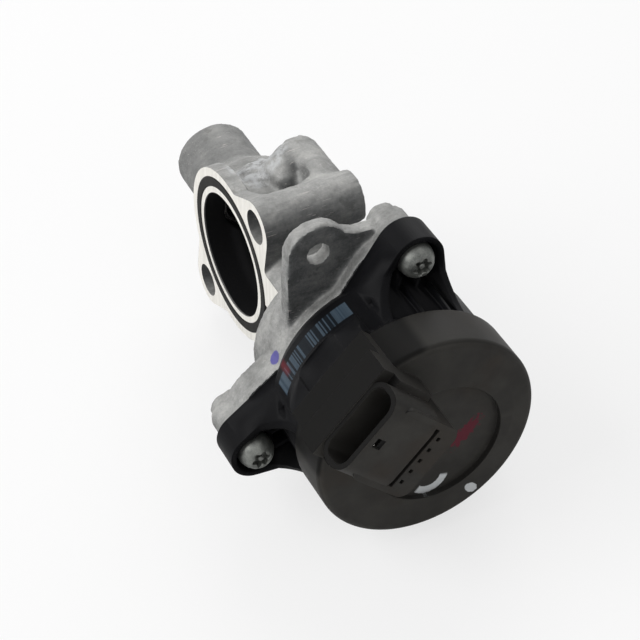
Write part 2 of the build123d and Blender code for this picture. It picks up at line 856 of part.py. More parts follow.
# ---- cover with the connector ----
socket_low = connector_low + connector_wall
socket_high = connector_top - connector_wall
pin_height = (socket_low + socket_high) / 2
pin_tip = connector_mouth - pin_setback
with BuildPart() as motor_cover:
    with BuildSketch(level(shoulder)):
        Circle(cover_r)
    extrude(amount=cover_top - shoulder)
    fillet(motor_cover.edges().group_by(Axis.Y)[0], cover_rim_fillet)
    with BuildSketch(level(shoulder)):  # tower that carries the connector
        with Locations((0, (tower_face + connector_back) / 2)):
            Rectangle(2 * tower_half, tower_face - connector_back)
    extrude(amount=connector_low + 3 - shoulder)
    with BuildSketch(level(cover_top - connector_rise)):  # collar under the shroud
        with Locations((0, (collar_reach + connector_back) / 2)):
            Rectangle(2 * tower_half, collar_reach - connector_back)
    extrude(amount=collar_drop)
    with BuildSketch(level(cover_top - 4)):  # block behind the connector
        with Locations((0, (block_end + tower_face) / 2)):
            RectangleRounded(2 * block_half, tower_face - block_end, 3)
    extrude(amount=connector_top - 0.6 - cover_top + 4)
    with BuildSketch(facing(connector_back)):  # shroud
        with Locations((0, (connector_low + connector_top) / 2)):
            RectangleRounded(2 * connector_half, connector_height, connector_corner)
    extrude(amount=-(connector_mouth - connector_back))
    with BuildSketch(level(cover_top - dish_depth)):  # dished face
        with Locations((0, dish_shift)):
            Circle(dish_r)
        with Locations((0, (block_end + tower_face) / 2)):
            RectangleRounded(2 * block_half, tower_face - block_end, 3, mode=Mode.SUBTRACT)
    extrude(amount=dish_depth + 1, mode=Mode.SUBTRACT)
    # inside
    ceiling = cover_top - dish_depth - cover_wall
    with BuildSketch(turning):
        with BuildLine():
            Polyline(
                (0, shoulder - 1),
                (cover_r - cover_wall, shoulder - 1),
                (cover_r - cover_wall, wall_top + part_gap),
                (cover_r - cover_wall - 1.5, ceiling),
                (0, ceiling),
                close=True,
            )
        make_face()
    revolve(axis=stem_axis, mode=Mode.SUBTRACT)
    with BuildSketch(facing(connector_mouth + 1)):  # socket
        with Locations((0, (socket_low + socket_high) / 2)):
            RectangleRounded(
                2 * (connector_half - connector_wall),
                socket_high - socket_low,
                connector_corner - connector_wall,
            )
    extrude(amount=socket_depth + 1, mode=Mode.SUBTRACT)
    with BuildSketch(level(connector_top - connector_wall - 0.5)):  # latch window
        with Locations((0, connector_mouth - 3)):
            Rectangle(latch_size, latch_size)
    extrude(amount=connector_wall + 1, mode=Mode.SUBTRACT)
    with BuildSketch(level(connector_top - 3.4)):  # slot and coring holes
        with Locations((0, connector_back - 0.4 - slot_width / 2)):
            Rectangle(slot_length, slot_width)
        with Locations(*[(u, connector_back - 3.2) for u in pin_places]):
            Rectangle(code_hole, code_hole)
    extrude(amount=4, mode=Mode.SUBTRACT)
    for u in pin_places:  # moulded round the pins
        with BuildSketch(level(ceiling - 1)):
            with Locations((u, pin_leg)):
                Rectangle(pin_thick, pin_thick)
        extrude(amount=pin_height + pin_thick / 2 - ceiling + 1, mode=Mode.SUBTRACT)
        with BuildSketch(facing(pin_leg - pin_thick / 2)):
            with Locations((u, pin_height)):
                Rectangle(pin_thick, pin_thick)
        extrude(amount=-4, mode=Mode.SUBTRACT)
motor_cover.part.label = "motor_cover"
export_step(motor_cover.part, "parts/motor_cover.step")

# ---- terminal pins ----
with BuildPart() as terminal_pins:
    for u in pin_places:
        with BuildSketch(section(u - pin_thick / 2)):
            with BuildLine():
                Polyline(
                    (pin_leg - pin_thick / 2, board_low),
                    (pin_leg + pin_thick / 2, board_low),
                    (pin_leg + pin_thick / 2, pin_height - pin_thick / 2),
                    (pin_tip, pin_height - pin_thick / 2),
                    (pin_tip + 0.8, pin_height),
                    (pin_tip, pin_height + pin_thick / 2),
                    (pin_leg - pin_thick / 2, pin_height + pin_thick / 2),
                    close=True,
                )
            make_face()
        extrude(amount=pin_thick)
terminal_pins.part.label = "terminal_pins"
export_step(terminal_pins.part, "parts/terminal_pins.step")
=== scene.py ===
import bpy, bmesh, json, math
from mathutils import Matrix, Vector, noise


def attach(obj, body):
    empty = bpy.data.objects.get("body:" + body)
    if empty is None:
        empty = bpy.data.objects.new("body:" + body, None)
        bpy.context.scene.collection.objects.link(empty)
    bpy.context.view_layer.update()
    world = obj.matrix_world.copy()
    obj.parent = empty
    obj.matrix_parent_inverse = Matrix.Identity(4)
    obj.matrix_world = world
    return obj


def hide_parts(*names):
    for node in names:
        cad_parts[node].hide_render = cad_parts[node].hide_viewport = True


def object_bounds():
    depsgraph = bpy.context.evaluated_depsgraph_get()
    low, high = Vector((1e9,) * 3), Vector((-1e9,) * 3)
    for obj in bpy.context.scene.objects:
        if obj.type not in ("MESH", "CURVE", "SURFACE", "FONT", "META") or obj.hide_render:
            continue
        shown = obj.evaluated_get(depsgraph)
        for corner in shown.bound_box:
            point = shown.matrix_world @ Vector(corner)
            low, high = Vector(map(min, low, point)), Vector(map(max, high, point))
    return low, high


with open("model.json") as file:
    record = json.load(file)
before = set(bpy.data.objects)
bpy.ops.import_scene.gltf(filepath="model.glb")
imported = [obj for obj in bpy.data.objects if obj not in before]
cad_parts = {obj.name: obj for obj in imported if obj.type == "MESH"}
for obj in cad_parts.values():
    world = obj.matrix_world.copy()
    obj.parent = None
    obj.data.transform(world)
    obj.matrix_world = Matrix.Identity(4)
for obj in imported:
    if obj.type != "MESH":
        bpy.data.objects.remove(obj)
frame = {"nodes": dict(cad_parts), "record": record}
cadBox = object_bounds()
nodes = frame["nodes"]
scene = bpy.context.scene
mm = 0.001
print("frame loaded:", len(nodes), "nodes")

# the stem axis stands 13 mm behind the flange face; u runs along the plug socket, v out of its mouth
stemX = 13.0
diagonal = math.sqrt(0.5)


def placeOf(u, v, w):  # actuator coordinates in mm to the shared frame in metres
    return Vector((stemX + diagonal * (u - v), -w, diagonal * (u + v))) * mm


class shaderValue:  # one socket of a material, with arithmetic on it
    def __init__(self, tree, socket=None):
        self.tree = tree
        self.socket = socket

    def make(self, kind, settings=None, values=None, out=0):
        made = self.tree.nodes.new(kind)
        for name, value in (settings or {}).items():
            if name == "stops":
                ramp = made.color_ramp
                ramp.elements.remove(ramp.elements[1])
                for index, (place, colour) in enumerate(value):
                    stop = ramp.elements[0] if index == 0 else ramp.elements.new(place)
                    stop.position = place
                    stop.color = colour
            else:
                setattr(made, name, value)
        for name, value in (values or {}).items():
            port = made.inputs[name]
            if isinstance(value, shaderValue):
                self.tree.links.new(value.socket, port)
            else:
                port.default_value = value
        return shaderValue(self.tree, made.outputs[out])

    def math(self, operation, *others, clamp=False):
        values = dict(enumerate((self,) + others))
        return self.make("ShaderNodeMath", {"operation": operation, "use_clamp": clamp}, values)

    def __add__(self, other):
        return self.math("ADD", other)

    __radd__ = __add__

    def __mul__(self, other):
        return self.math("MULTIPLY", other)

    __rmul__ = __mul__

    def __sub__(self, other):
        return self.math("SUBTRACT", other)

    def __rsub__(self, other):
        return self.make("ShaderNodeMath", {"operation": "SUBTRACT"}, {0: other, 1: self})

    def below(self, edge, soft=0.05):  # 1 where the value is under the edge
        return self.make("ShaderNodeMapRange", {"interpolation_type": "SMOOTHSTEP"},
                         {"Value": self, 1: edge - soft, 2: edge + soft, 3: 1.0, 4: 0.0})

    def above(self, edge, soft=0.05):
        return 1 - self.below(edge, soft)

    def within(self, low, high, soft=0.05):
        return self.above(low, soft) * self.below(high, soft)

    def limit(self):
        return self.math("ADD", 0.0, clamp=True)

    def ramp(self, *stops):
        return self.make("ShaderNodeValToRGB", {"stops": stops}, {0: self})

    def mixed(self, under, over):  # colours: under where this is 0, over where it is 1
        return self.make("ShaderNodeMix", {"data_type": "RGBA"}, {0: self, 6: under, 7: over}, 2)


def paint(red, green, blue):
    return (red, green, blue, 1.0)


class surface:  # a material with the places and noises that its patterns read
    def __init__(self, name):
        self.material = bpy.data.materials.new(name)
        self.material.use_nodes = True
        self.tree = self.material.node_tree
        self.shader = self.tree.nodes["Principled BSDF"]
        self.start = shaderValue(self.tree)
        self.point = self.start.make("ShaderNodeTexCoord", out=3)
        self.place = self.point.make("ShaderNodeVectorMath", {"operation": "SCALE"},
                                     {0: self.point, 3: 1 / mm})
        x, y, z = (self.place.make("ShaderNodeSeparateXYZ", {}, {0: self.place}, axis) for axis in range(3))
        self.x, self.y, self.z = x, y, z
        self.u = (x - stemX + z) * diagonal
        self.v = (z - x + stemX) * diagonal
        self.w = y * -1.0
        self.normal = self.start.make("ShaderNodeNewGeometry", out=1)

    def noise(self, scale, detail=3.0, rough=0.55, stretch=None, offset=0.0):
        where = self.place
        if stretch or offset:
            where = where.make("ShaderNodeMapping", {}, {0: where, 1: (offset, offset, offset),
                                                         3: stretch or (1, 1, 1)})
        return where.make("ShaderNodeTexNoise", {}, {"Vector": where, "Scale": scale, "Detail": detail,
                                                     "Roughness": rough})

    def near(self, centre, squash=(1, 1)):  # distance in mm from a point of the cover, seen along the stem
        across, along = self.u - centre[0], self.v - centre[1]
        return (across * across * squash[0] + along * along * squash[1]).math("SQRT")

    def facing(self, axis):  # how far the face looks along an axis, from -1 to 1
        return self.normal.make("ShaderNodeVectorMath", {"operation": "DOT_PRODUCT"},
                                {0: self.normal, 1: axis}, 1)

    def relief(self, height, strength=0.3, distance=0.1, under=None):
        values = {"Strength": strength, "Distance": distance * mm, "Height": height}
        if under:
            values["Normal"] = under
        return height.make("ShaderNodeBump", {}, values)

    def rounded(self, radius):
        return self.start.make("ShaderNodeBevel", {"samples": 6}, {"Radius": radius * mm})

    def finish(self, **sockets):
        for name, value in sockets.items():
            port = self.shader.inputs[name.replace("_", " ")]
            if isinstance(value, shaderValue):
                self.tree.links.new(value.socket, port)
            else:
                port.default_value = value
        return self.material


# cast aluminium with its machined faces
castLook = {
    "dark": paint(0.06, 0.063, 0.065), "mid": paint(0.21, 0.213, 0.212), "light": paint(0.43, 0.427, 0.41),
    "machined": paint(0.84, 0.82, 0.77), "machinedWorn": paint(0.74, 0.72, 0.67),
    "insideBlack": paint(0.006, 0.006, 0.0065), "stain": paint(0.055, 0.055, 0.052),
    "scratch": paint(0.5, 0.47, 0.45), "brokenGate": paint(0.5, 0.51, 0.52), "pen": paint(0.07, 0.06, 0.3),
    "metal": 0.42, "sheen": 0.1,
    "faceEnd": -34.0,  # the machined face ends here towards the cover
    "bore": {"radius": 16.75, "from": 0.35, "to": 12.5},
    "chamber": {"radius": 15.3, "low": -20.0, "high": 11.5, "back": 25.5},
    "stub": {"radius": 8.4, "end": 40.5, "from": 24.0},
    "gate": {"x": 10.6, "y": 4.6, "radius": 6.2, "above": 17.5},
    "penMarks": [((-10.6, 21.4, 47.9), 3.4), ((35.2, 19.5, 50.6), 3.0)],  # place (u, v, w), reach squared
}


def castInside(s):  # 1 on the inner walls of the bore, the chamber and the stub, which are coloured near-black
    bore, chamber, stub = castLook["bore"], castLook["chamber"], castLook["stub"]
    fromBore = (s.y * s.y + s.z * s.z).math("SQRT")
    fromStem = (s.z * s.z + (s.x - stemX) * (s.x - stemX)).math("SQRT")
    inBore = fromBore.below(bore["radius"]) * s.x.within(bore["from"], bore["to"], 0.25)
    inStub = fromStem.below(stub["radius"]) * s.y.below(stub["end"], 0.3)
    inChamber = (fromStem.below(chamber["radius"]) * s.y.within(chamber["low"], chamber["high"], 0.3)
                 * s.x.within(bore["from"], chamber["back"], 0.25))
    return (inBore + inStub + inChamber).limit()


def castAluminium():
    s = surface("castAluminium")
    cloud = s.noise(0.11, 5.0, 0.65)
    speck = s.noise(1.5, 3.0, 0.7, offset=7.0)
    streak = s.noise(0.55, 4.0, 0.65, stretch=(0.16, 1.0, 1.0), offset=3.0)
    tone = (cloud * 1.3 + speck * 0.55 + streak * 0.5 - 0.72).limit()
    skin = tone.ramp((0.2, castLook["dark"]), (0.46, castLook["mid"]), (0.82, castLook["light"]))
    stain = s.noise(0.2, 6.0, 0.75, offset=21.0).above(0.6)
    skin = (stain * 0.55).mixed(skin, castLook["stain"])
    lit = (s.facing((-0.3, 0.2, 0.93)).above(0.2, 0.75)) * 0.4
    skin = lit.mixed(skin, castLook["light"])
    shade = s.facing((0, -1, 0)).above(0.6, 0.35) * 0.62
    skin = shade.mixed(skin, castLook["dark"])
    skin = (s.y.above(castLook["stub"]["from"], 2.0) * 0.35).mixed(skin, castLook["dark"])
    # the machined face, with the cutter's faint lines
    flat = s.x.below(0.03, 0.02) * s.facing((-1, 0, 0)).above(0.9) * s.y.above(castLook["faceEnd"], 0.1)
    swirl = s.noise(0.7, 3.0, 0.6, stretch=(1, 1, 0.12), offset=11.0)
    machined = swirl.ramp((0.35, castLook["machinedWorn"]), (0.6, castLook["machined"]))
    colour = flat.mixed(skin, machined)
    scratch = s.noise(2.6, 2.0, 0.6, stretch=(0.05, 1.1, 1.1), offset=40.0).above(0.66, 0.015)
    patch = s.noise(0.12, 2.0, offset=60.0).above(0.5, 0.08)
    colour = (scratch * patch * 0.55 * (1 - flat)).mixed(colour, castLook["scratch"])
    # the broken gate on top
    gate = castLook["gate"]
    across, along = s.x - gate["x"], s.y - gate["y"]
    onGate = (across * across * 0.6 + along * along).math("SQRT").below(gate["radius"], 0.8)
    onGate = onGate * s.z.above(gate["above"], 0.5) * s.noise(0.5, 4.0, 0.7, offset=31.0).above(0.5, 0.12)
    colour = (onGate * 0.7).mixed(colour, castLook["brokenGate"])
    inside = castInside(s)
    # the walls inside the bore, the chamber and the stub are coloured near-black
    colour = inside.mixed(colour, castLook["insideBlack"])
    wobble = s.noise(1.2, 2.0, offset=5.0) * 0.8
    for (u, v, w), reach in castLook["penMarks"]:
        away = (s.u - u) * (s.u - u) + (s.v - v) * (s.v - v) + (s.w - w) * (s.w - w) + wobble
        colour = (away.below(reach, 0.6) * 0.8).mixed(colour, castLook["pen"])
    grain = s.noise(3.0, 3.0, 0.65) * 0.5 + speck * 0.9 + cloud * 1.2
    dull = ((0.48 + speck * 0.3) * (1 - flat) + flat * 0.4) * (1 - inside) + inside * 0.9
    return s.finish(Base_Color=colour, Metallic=(1 - inside) * castLook["metal"], Roughness=dull,
                    Specular_IOR_Level=castLook["sheen"],
                    Normal=s.relief(grain * (1 - flat * 0.9), 0.6, 0.14))


# moulded plastics
housingLook = {
    "base": paint(0.0042, 0.0042, 0.0049), "worn": paint(0.0072, 0.0073, 0.0082), "sheen": 0.05,
    "mark": paint(0.035, 0.055, 0.078), "markLight": paint(0.075, 0.105, 0.135),
    "red": paint(0.2, 0.02, 0.03),
    "barrel": 26.4, "above": 19.0,  # barrel radius; the marks lie where v is greater than this
    "band": {"low": 55.7, "high": 60.3, "from": 28.9, "to": 55.1},  # w, then mm along the barrel
    "bars": {"perMm": 2.9, "share": 0.42, "firstBlock": 31.8, "lastBlock": 52.2},
    "redDab": {"low": 53.6, "high": 58.0, "from": 49.4, "to": 51.2},
}


def housingPlastic():
    look = housingLook
    s = surface("housingPlastic")
    cloud = s.noise(0.12, 3.0)
    colour = cloud.ramp((0.35, look["base"]), (0.75, look["worn"]))
    # a band of plain bars that say nothing, on the barrel
    along = s.v.math("ARCTAN2", s.u) * look["barrel"]
    front = s.v.above(look["above"], 0.2)
    band, bars = look["band"], look["bars"]
    onBand = s.w.within(band["low"], band["high"]) * along.within(band["from"], band["to"]) * front
    stripes = s.start.make("ShaderNodeTexWhiteNoise", {"noise_dimensions": "1D"},
                           {"W": (along * bars["perMm"]).math("FLOOR")})
    blocks = (along.below(bars["firstBlock"]) + along.above(bars["lastBlock"])).limit()
    shown = onBand * (stripes.above(bars["share"], 0.02) * 0.75 + 0.15 + blocks).limit()
    ink = stripes.mixed(look["mark"], look["markLight"])
    colour = (shown * 0.85).mixed(colour, ink)
    dab = look["redDab"]
    red = s.w.within(dab["low"], dab["high"], 0.8) * along.within(dab["from"], dab["to"], 0.7) * front
    colour = (red * 0.4).mixed(colour, look["red"])
    grain = s.noise(4.0, 2.0, 0.6)
    return s.finish(Base_Color=colour, Roughness=cloud * 0.16 + 0.36, Specular_IOR_Level=look["sheen"],
                    Normal=s.relief(grain, 0.14, 0.05, s.rounded(0.45)))


coverLook = {
    "top": paint(0.048, 0.046, 0.042), "topDark": paint(0.034, 0.0325, 0.0302),
    # painted shade: the side colour darkens every cover face except its top faces
    "side": paint(0.02, 0.0192, 0.018),
    # painted shade: the tower colour darkens the tower's front faces to near-black
    "tower": paint(0.003, 0.0029, 0.0028), "warm": paint(0.04, 0.026, 0.016), "sheen": 0.06,
    "paint": paint(0.62, 0.64, 0.65), "smear": paint(0.13, 0.014, 0.03),
    "topFrom": 79.5, "towerFrom": 20.0,  # w of the top faces, v of the tower's front
    "pads": {"inner": 17.6, "outer": 22.4, "turns": [(-44.0, -24.0), (-66.0, -50.0)]},
    "hookAt": (-8.9, -10.2), "dotAt": (-6.7, -23.3), "smearAt": (5.0, -10.0),  # (u, v)
}


def coverPlastic():
    look = coverLook
    s = surface("coverPlastic")
    cloud = s.noise(0.1, 4.0, 0.6)
    colour = cloud.ramp((0.35, look["topDark"]), (0.65, look["top"]))
    colour = (s.noise(0.07, 2.0, offset=14.0).above(0.6, 0.1) * 0.25).mixed(colour, look["warm"])
    high = s.w.above(look["topFrom"], 0.3)
    top = high * s.facing((0, -1, 0)).above(0.7, 0.1)
    # painted shade: every face of the cover except its top faces is darkened towards the side colour
    colour = ((1 - top) * 0.62).mixed(colour, look["side"])
    # painted shade: the tower's faces turned out of the socket mouth are darkened to near-black
    tower = s.facing((-diagonal, 0, diagonal)).above(0.5, 0.2) * s.v.above(look["towerFrom"], 1.0)
    colour = (tower * 0.9).mixed(colour, look["tower"])
    # two darker pads on the rim
    around = s.v.math("ARCTAN2", s.u) * (180 / math.pi)
    first, second = (around.within(low, end, 1.5) for low, end in look["pads"]["turns"])
    pads = s.near((0, 0)).within(look["pads"]["inner"], look["pads"]["outer"], 0.3) * (first + second)
    colour = (pads * top * 0.55).mixed(colour, look["topDark"])
    # dabs of inspection paint: a hook, a dot and a red smear
    wobble = (s.noise(0.9, 3.0, 0.7, offset=9.0) - 0.5) * 1.2
    hookTurn = (s.v - look["hookAt"][1]).math("ARCTAN2", s.u - look["hookAt"][0])
    hook = (s.near(look["hookAt"]) + wobble * 0.6).within(3.3, 5.4, 0.12) * hookTurn.within(-3.1, -1.1, 0.1)
    dot = (s.near(look["dotAt"], (1.3, 0.6)) + wobble * 0.6).below(1.5, 0.1)
    colour = ((hook + dot).limit() * high * 0.95).mixed(colour, look["paint"])
    smear = (s.near(look["smearAt"], (0.22, 1.4)) + wobble * 4.2).below(2.3, 0.35)
    colour = (smear * high * 0.75).mixed(colour, look["smear"])
    grain = s.noise(4.0, 2.0, 0.6)
    return s.finish(Base_Color=colour, Roughness=cloud * 0.2 + 0.36, Specular_IOR_Level=look["sheen"],
                    Normal=s.relief(grain, 0.16, 0.05, s.rounded(0.4)))


# metals, rubber and the inner parts: one recipe, a row of settings each
plainLooks = {  # base colour, worn colour, roughness, metallic, grain
    "darkRubber": ((0.011, 0.011, 0.011), (0.022, 0.021, 0.02), 0.7, 0.0, 2.5),
    "turnedSteel": ((0.46, 0.45, 0.43), (0.6, 0.59, 0.57), 0.26, 1.0, 0.6),
    "springWire": ((0.3, 0.3, 0.3), (0.45, 0.45, 0.44), 0.3, 1.0, 0.8),
    "dullZinc": ((0.06, 0.063, 0.06), (0.28, 0.29, 0.27), 0.46, 0.6, 2.2),
    "bearingSteel": ((0.55, 0.55, 0.55), (0.68, 0.68, 0.67), 0.16, 1.0, 0.5),
    "oiledBronze": ((0.36, 0.22, 0.1), (0.5, 0.33, 0.17), 0.4, 0.9, 1.4),
    "turnedBrass": ((0.55, 0.4, 0.16), (0.7, 0.54, 0.26), 0.28, 1.0, 0.6),
    "sinteredMagnet": ((0.06, 0.06, 0.062), (0.11, 0.11, 0.11), 0.45, 0.3, 2.0),
    "enamelledCopper": ((0.4, 0.13, 0.05), (0.6, 0.25, 0.11), 0.3, 0.7, 1.0),
    "stampedSheet": ((0.2, 0.2, 0.21), (0.33, 0.33, 0.33), 0.4, 0.9, 1.0),
    "boardGreen": ((0.012, 0.07, 0.03), (0.02, 0.12, 0.05), 0.3, 0.0, 1.0),
    "chipBlack": ((0.015, 0.015, 0.015), (0.03, 0.03, 0.03), 0.5, 0.0, 2.0),
    "tinPlate": ((0.5, 0.49, 0.46), (0.66, 0.65, 0.62), 0.25, 1.0, 0.7),
}
rubberSheen = 0.12


def plainFinish(name):
    base, worn, dull, metal, grain = plainLooks[name]
    s = surface(name)
    cloud = s.noise(0.35, 4.0, 0.6)
    fine = s.noise(4.0, 2.0, 0.6, offset=2.0)
    colour = (cloud * 0.7 + fine * 0.3).ramp((0.3, paint(*base)), (0.7, paint(*worn)))
    return s.finish(Base_Color=colour, Metallic=metal, Roughness=fine * 0.14 + (dull - 0.07),
                    Specular_IOR_Level=rubberSheen if name == "darkRubber" else 0.5,
                    Normal=s.relief(fine, 0.1 * grain, 0.04, s.rounded(0.25)))


slotFinish = {
    "rubber": "darkRubber", "stainless": "turnedSteel", "spring_steel": "springWire",
    "zinc_steel": "dullZinc", "bearing_steel": "bearingSteel", "bronze": "oiledBronze",
    "brass": "turnedBrass", "magnet": "sinteredMagnet", "copper": "enamelledCopper",
    "lamination": "stampedSheet", "board": "boardGreen", "chip": "chipBlack", "tin": "tinPlate",
}
finishes = {slot: plainFinish(name) for slot, name in slotFinish.items()}
finishes["cast_aluminium"] = castAluminium()
finishes["black_plastic"] = housingPlastic()
finishes["cover_plastic"] = coverPlastic()
slotOf = {part["node"]: part["material_slot"] for part in frame["record"]["subparts"]}
for name, node in nodes.items():
    node.data.materials.clear()
    node.data.materials.append(finishes[slotOf[name]])
print("finishes:", len(finishes))

# shared helpers for the pieces
def weldedCopy(name, source, weld=0.002):  # a CAD mesh's triangles are loose, so they are merged first
    form = bmesh.new()
    form.from_mesh(source.data)
    bmesh.ops.remove_doubles(form, verts=form.verts, dist=weld * mm)
    return meshFrom(form, name)


def addPiece(name, data):
    piece = bpy.data.objects.new(name, data)
    scene.collection.objects.link(piece)
    return piece


def settled(piece):  # the modifiers' result becomes the mesh
    graph = bpy.context.evaluated_depsgraph_get()
    mesh = bpy.data.meshes.new_from_object(piece.evaluated_get(graph))
    piece.modifiers.clear()
    piece.data = mesh


def shadeSmooth(mesh, angle):
    mesh.shade_smooth()
    mesh.set_sharp_from_angle(angle=math.radians(angle))


def ramped(value, start, length):  # 0 up to start, then rising to 1 over the length
    return min(max((value - start) / length, 0), 1)


def meshFrom(form, name):
    bmesh.ops.recalc_face_normals(form, faces=form.faces)
    mesh = bpy.data.meshes.new(name)
    form.to_mesh(mesh)
    form.free()
    return mesh


def addBlock(form, low, high):  # a box in mm, for cutting
    for vert in bmesh.ops.create_cube(form, size=1.0)["verts"]:
        for axis in range(3):
            vert.co[axis] = (low[axis] if vert.co[axis] < 0 else high[axis]) * mm


def addBall(form, centre, radii):  # an ellipsoid in mm, to be taken up by the voxel grid
    for vert in bmesh.ops.create_icosphere(form, subdivisions=3, radius=1.0)["verts"]:
        vert.co = Vector([(centre[axis] + vert.co[axis] * radii[axis]) * mm for axis in range(3)])


def relax(piece, name, turns, group=""):  # evens out the surface, all of it or one group of its points
    smooth = piece.modifiers.new(name, "SMOOTH")
    smooth.iterations = turns
    smooth.factor = 0.5
    smooth.vertex_group = group


def cutAway(piece, cutter, solver):
    cut = addPiece("cutter", meshFrom(cutter, "cutter"))
    taken = piece.modifiers.new("cut", "BOOLEAN")
    taken.operation = "DIFFERENCE"
    taken.solver = solver
    taken.object = cut
    settled(piece)
    bpy.data.objects.remove(cut)


def dressed(piece, node, finish, sharp):  # shading, finish, and the CAD node that the piece stands for
    shadeSmooth(piece.data, sharp)
    piece.data.materials.clear()
    piece.data.materials.append(finishes[finish])
    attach(piece, "housing")
    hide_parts(node)
    print(piece.name + ":", len(piece.data.polygons), "faces")


# the three housing screws, which the ears of the casting follow
screwLook = {
    "count": 3, "ring": 34.5, "seat": 56.8, "first": 30.0, "around": 72, "seed": 4,
    "shank": 2.45, "low": -14.8, "lobe": 2.0, "wave": 0.38, "pin": 0.72, "depth": 2.0,
    "dome": [(4.2, -0.05), (4.5, 0.15), (4.55, 1.1), (4.42, 2.05),
             (4.05, 3.15), (3.5, 4.1), (2.85, 4.75), (2.5, 4.95)],  # radius, height over the seat
}


def screwSpots():  # the screw axes in the cover's plane, as (u, v) in mm
    turns = [math.radians(screwLook["first"] + 360 * index / screwLook["count"])
             for index in range(screwLook["count"])]
    return [Vector((math.cos(turn), math.sin(turn))) * screwLook["ring"] for turn in turns]


# cast body: a rough cast skin, cut flat where it was machined
castBody = {
    "grid": 0.6, "rounding": 4, "sharp": 42, "fine": 0.1, "coarse": 0.12,
    "lead": 2.0, "front": -35.95,  # the flange face is moved out by lead, then cut flat down to front
    "cut": {"low": (-8, -35.95, -60), "high": (0, 60, 60)},
    "relief": {"y": -20.4, "z": -0.8, "x": 0.7},
    "ears": {"low": 36.0, "high": 51.3, "pull": 2.0, "reach": 13.0, "hole": 3.0, "from": 30.0},
    "soft": {"low": (4.0, -7.0, 16.0), "high": (23.0, 10.5, 30.0), "turns": 40},
    "fills": [((14.6, -0.5, 21.4), (3.4, 6.2, 3.2)), ((17.2, 1.2, 24.0), (3.4, 4.4, 3.0)),
              ((11.6, 4.4, 18.6), (6.0, 5.4, 2.4))],
    "gate": {"centre": (10.4, 4.8), "reach": (5.6, 5.2), "rise": 0.5, "above": 17.0},
    "bore": 17.2, "stem": 9.6, "face": 0.4,  # walls within these radii and the face keep their exact form
}


def earPull(place, spots):  # the ears draw in towards their screws, off the arms' outline
    out = Vector(((place.x - stemX) + place.z, place.z - (place.x - stemX))) * diagonal
    ears = castBody["ears"]
    if ears["low"] < -place.y < ears["high"]:
        for spot in spots:
            away = out - spot
            pull = ramped(away.length, ears["hole"], 3.0) * ramped(out.length, ears["from"], 4.0)
            if away.length < ears["reach"] and pull > 0:
                step = away.normalized() * -ears["pull"] * pull
                return Vector(((step.x - step.y) * diagonal, 0, (step.x + step.y) * diagonal))
    return Vector((0, 0, 0))


def castSkin(place):  # how far the cast surface stands out at a place, in mm
    high = noise.fractal(place * 0.9, 1.0, 2.0, 3) * castBody["fine"]
    high += noise.noise(place * 0.17) * castBody["coarse"]
    gate = castBody["gate"]
    along = (place.x - gate["centre"][0]) / gate["reach"][0]
    across = (place.y - gate["centre"][1]) / gate["reach"][1]
    away = along * along + across * across
    if away < 1.6 and place.z > gate["above"]:  # the broken gate on top
        plates = noise.cell(Vector((place.x * 0.42 + place.y * 0.2, place.y * 0.5, 3.0)))
        high += gate["rise"] * min(max((1.35 - away) * 3, 0), 1) * (0.5 + 0.5 * plates)
    return high


def filledCasting():  # the CAD body with its flange face moved out and metal added in three corners
    form = bmesh.new()
    form.from_mesh(weldedCopy("castBody", nodes["valve_body"]))
    for vert in form.verts:
        if abs(vert.co.x) < 0.01 * mm and vert.co.y > castBody["front"] * mm:
            vert.co.x = -castBody["lead"] * mm
    for centre, radii in castBody["fills"]:
        addBall(form, centre, radii)
    mesh = bpy.data.meshes.new("castBody")
    form.to_mesh(mesh)
    form.free()
    return mesh


def buildCastBody():
    piece = addPiece("castBody", filledCasting())
    grid = piece.modifiers.new("grid", "REMESH")
    grid.mode = "VOXEL"
    grid.voxel_size = castBody["grid"] * mm
    relax(piece, "rounding", castBody["rounding"])
    settled(piece)
    low, high = castBody["soft"]["low"], castBody["soft"]["high"]
    group = piece.vertex_groups.new(name="soft")
    group.add([vert.index for vert in piece.data.vertices
               if all(low[axis] < vert.co[axis] / mm < high[axis] for axis in range(3))], 1.0, "REPLACE")
    relax(piece, "soft", castBody["soft"]["turns"], "soft")
    settled(piece)
    front, relief, spots = castBody["front"], castBody["relief"], screwSpots()
    normals = [vert.normal.copy() for vert in piece.data.vertices]
    for vert, normal in zip(piece.data.vertices, normals):
        place = vert.co / mm
        fromBore, fromStem = math.hypot(place.y, place.z), math.hypot(place.x - stemX, place.z)
        outside = fromBore >= castBody["bore"] and fromStem >= castBody["stem"]
        if outside and (place.x > castBody["face"] or place.y < front):
            vert.co += normal * castSkin(place) * mm
        vert.co += earPull(place, spots) * mm
        if outside and front < place.y < relief["y"] and place.z < relief["z"]:
            vert.co.x = max(vert.co.x, relief["x"] * mm)  # the neck stands back from the machined face
    cutter = bmesh.new()
    addBlock(cutter, castBody["cut"]["low"], castBody["cut"]["high"])
    cutAway(piece, cutter, "MANIFOLD")
    dressed(piece, "valve_body", "cast_aluminium", castBody["sharp"])


buildCastBody()

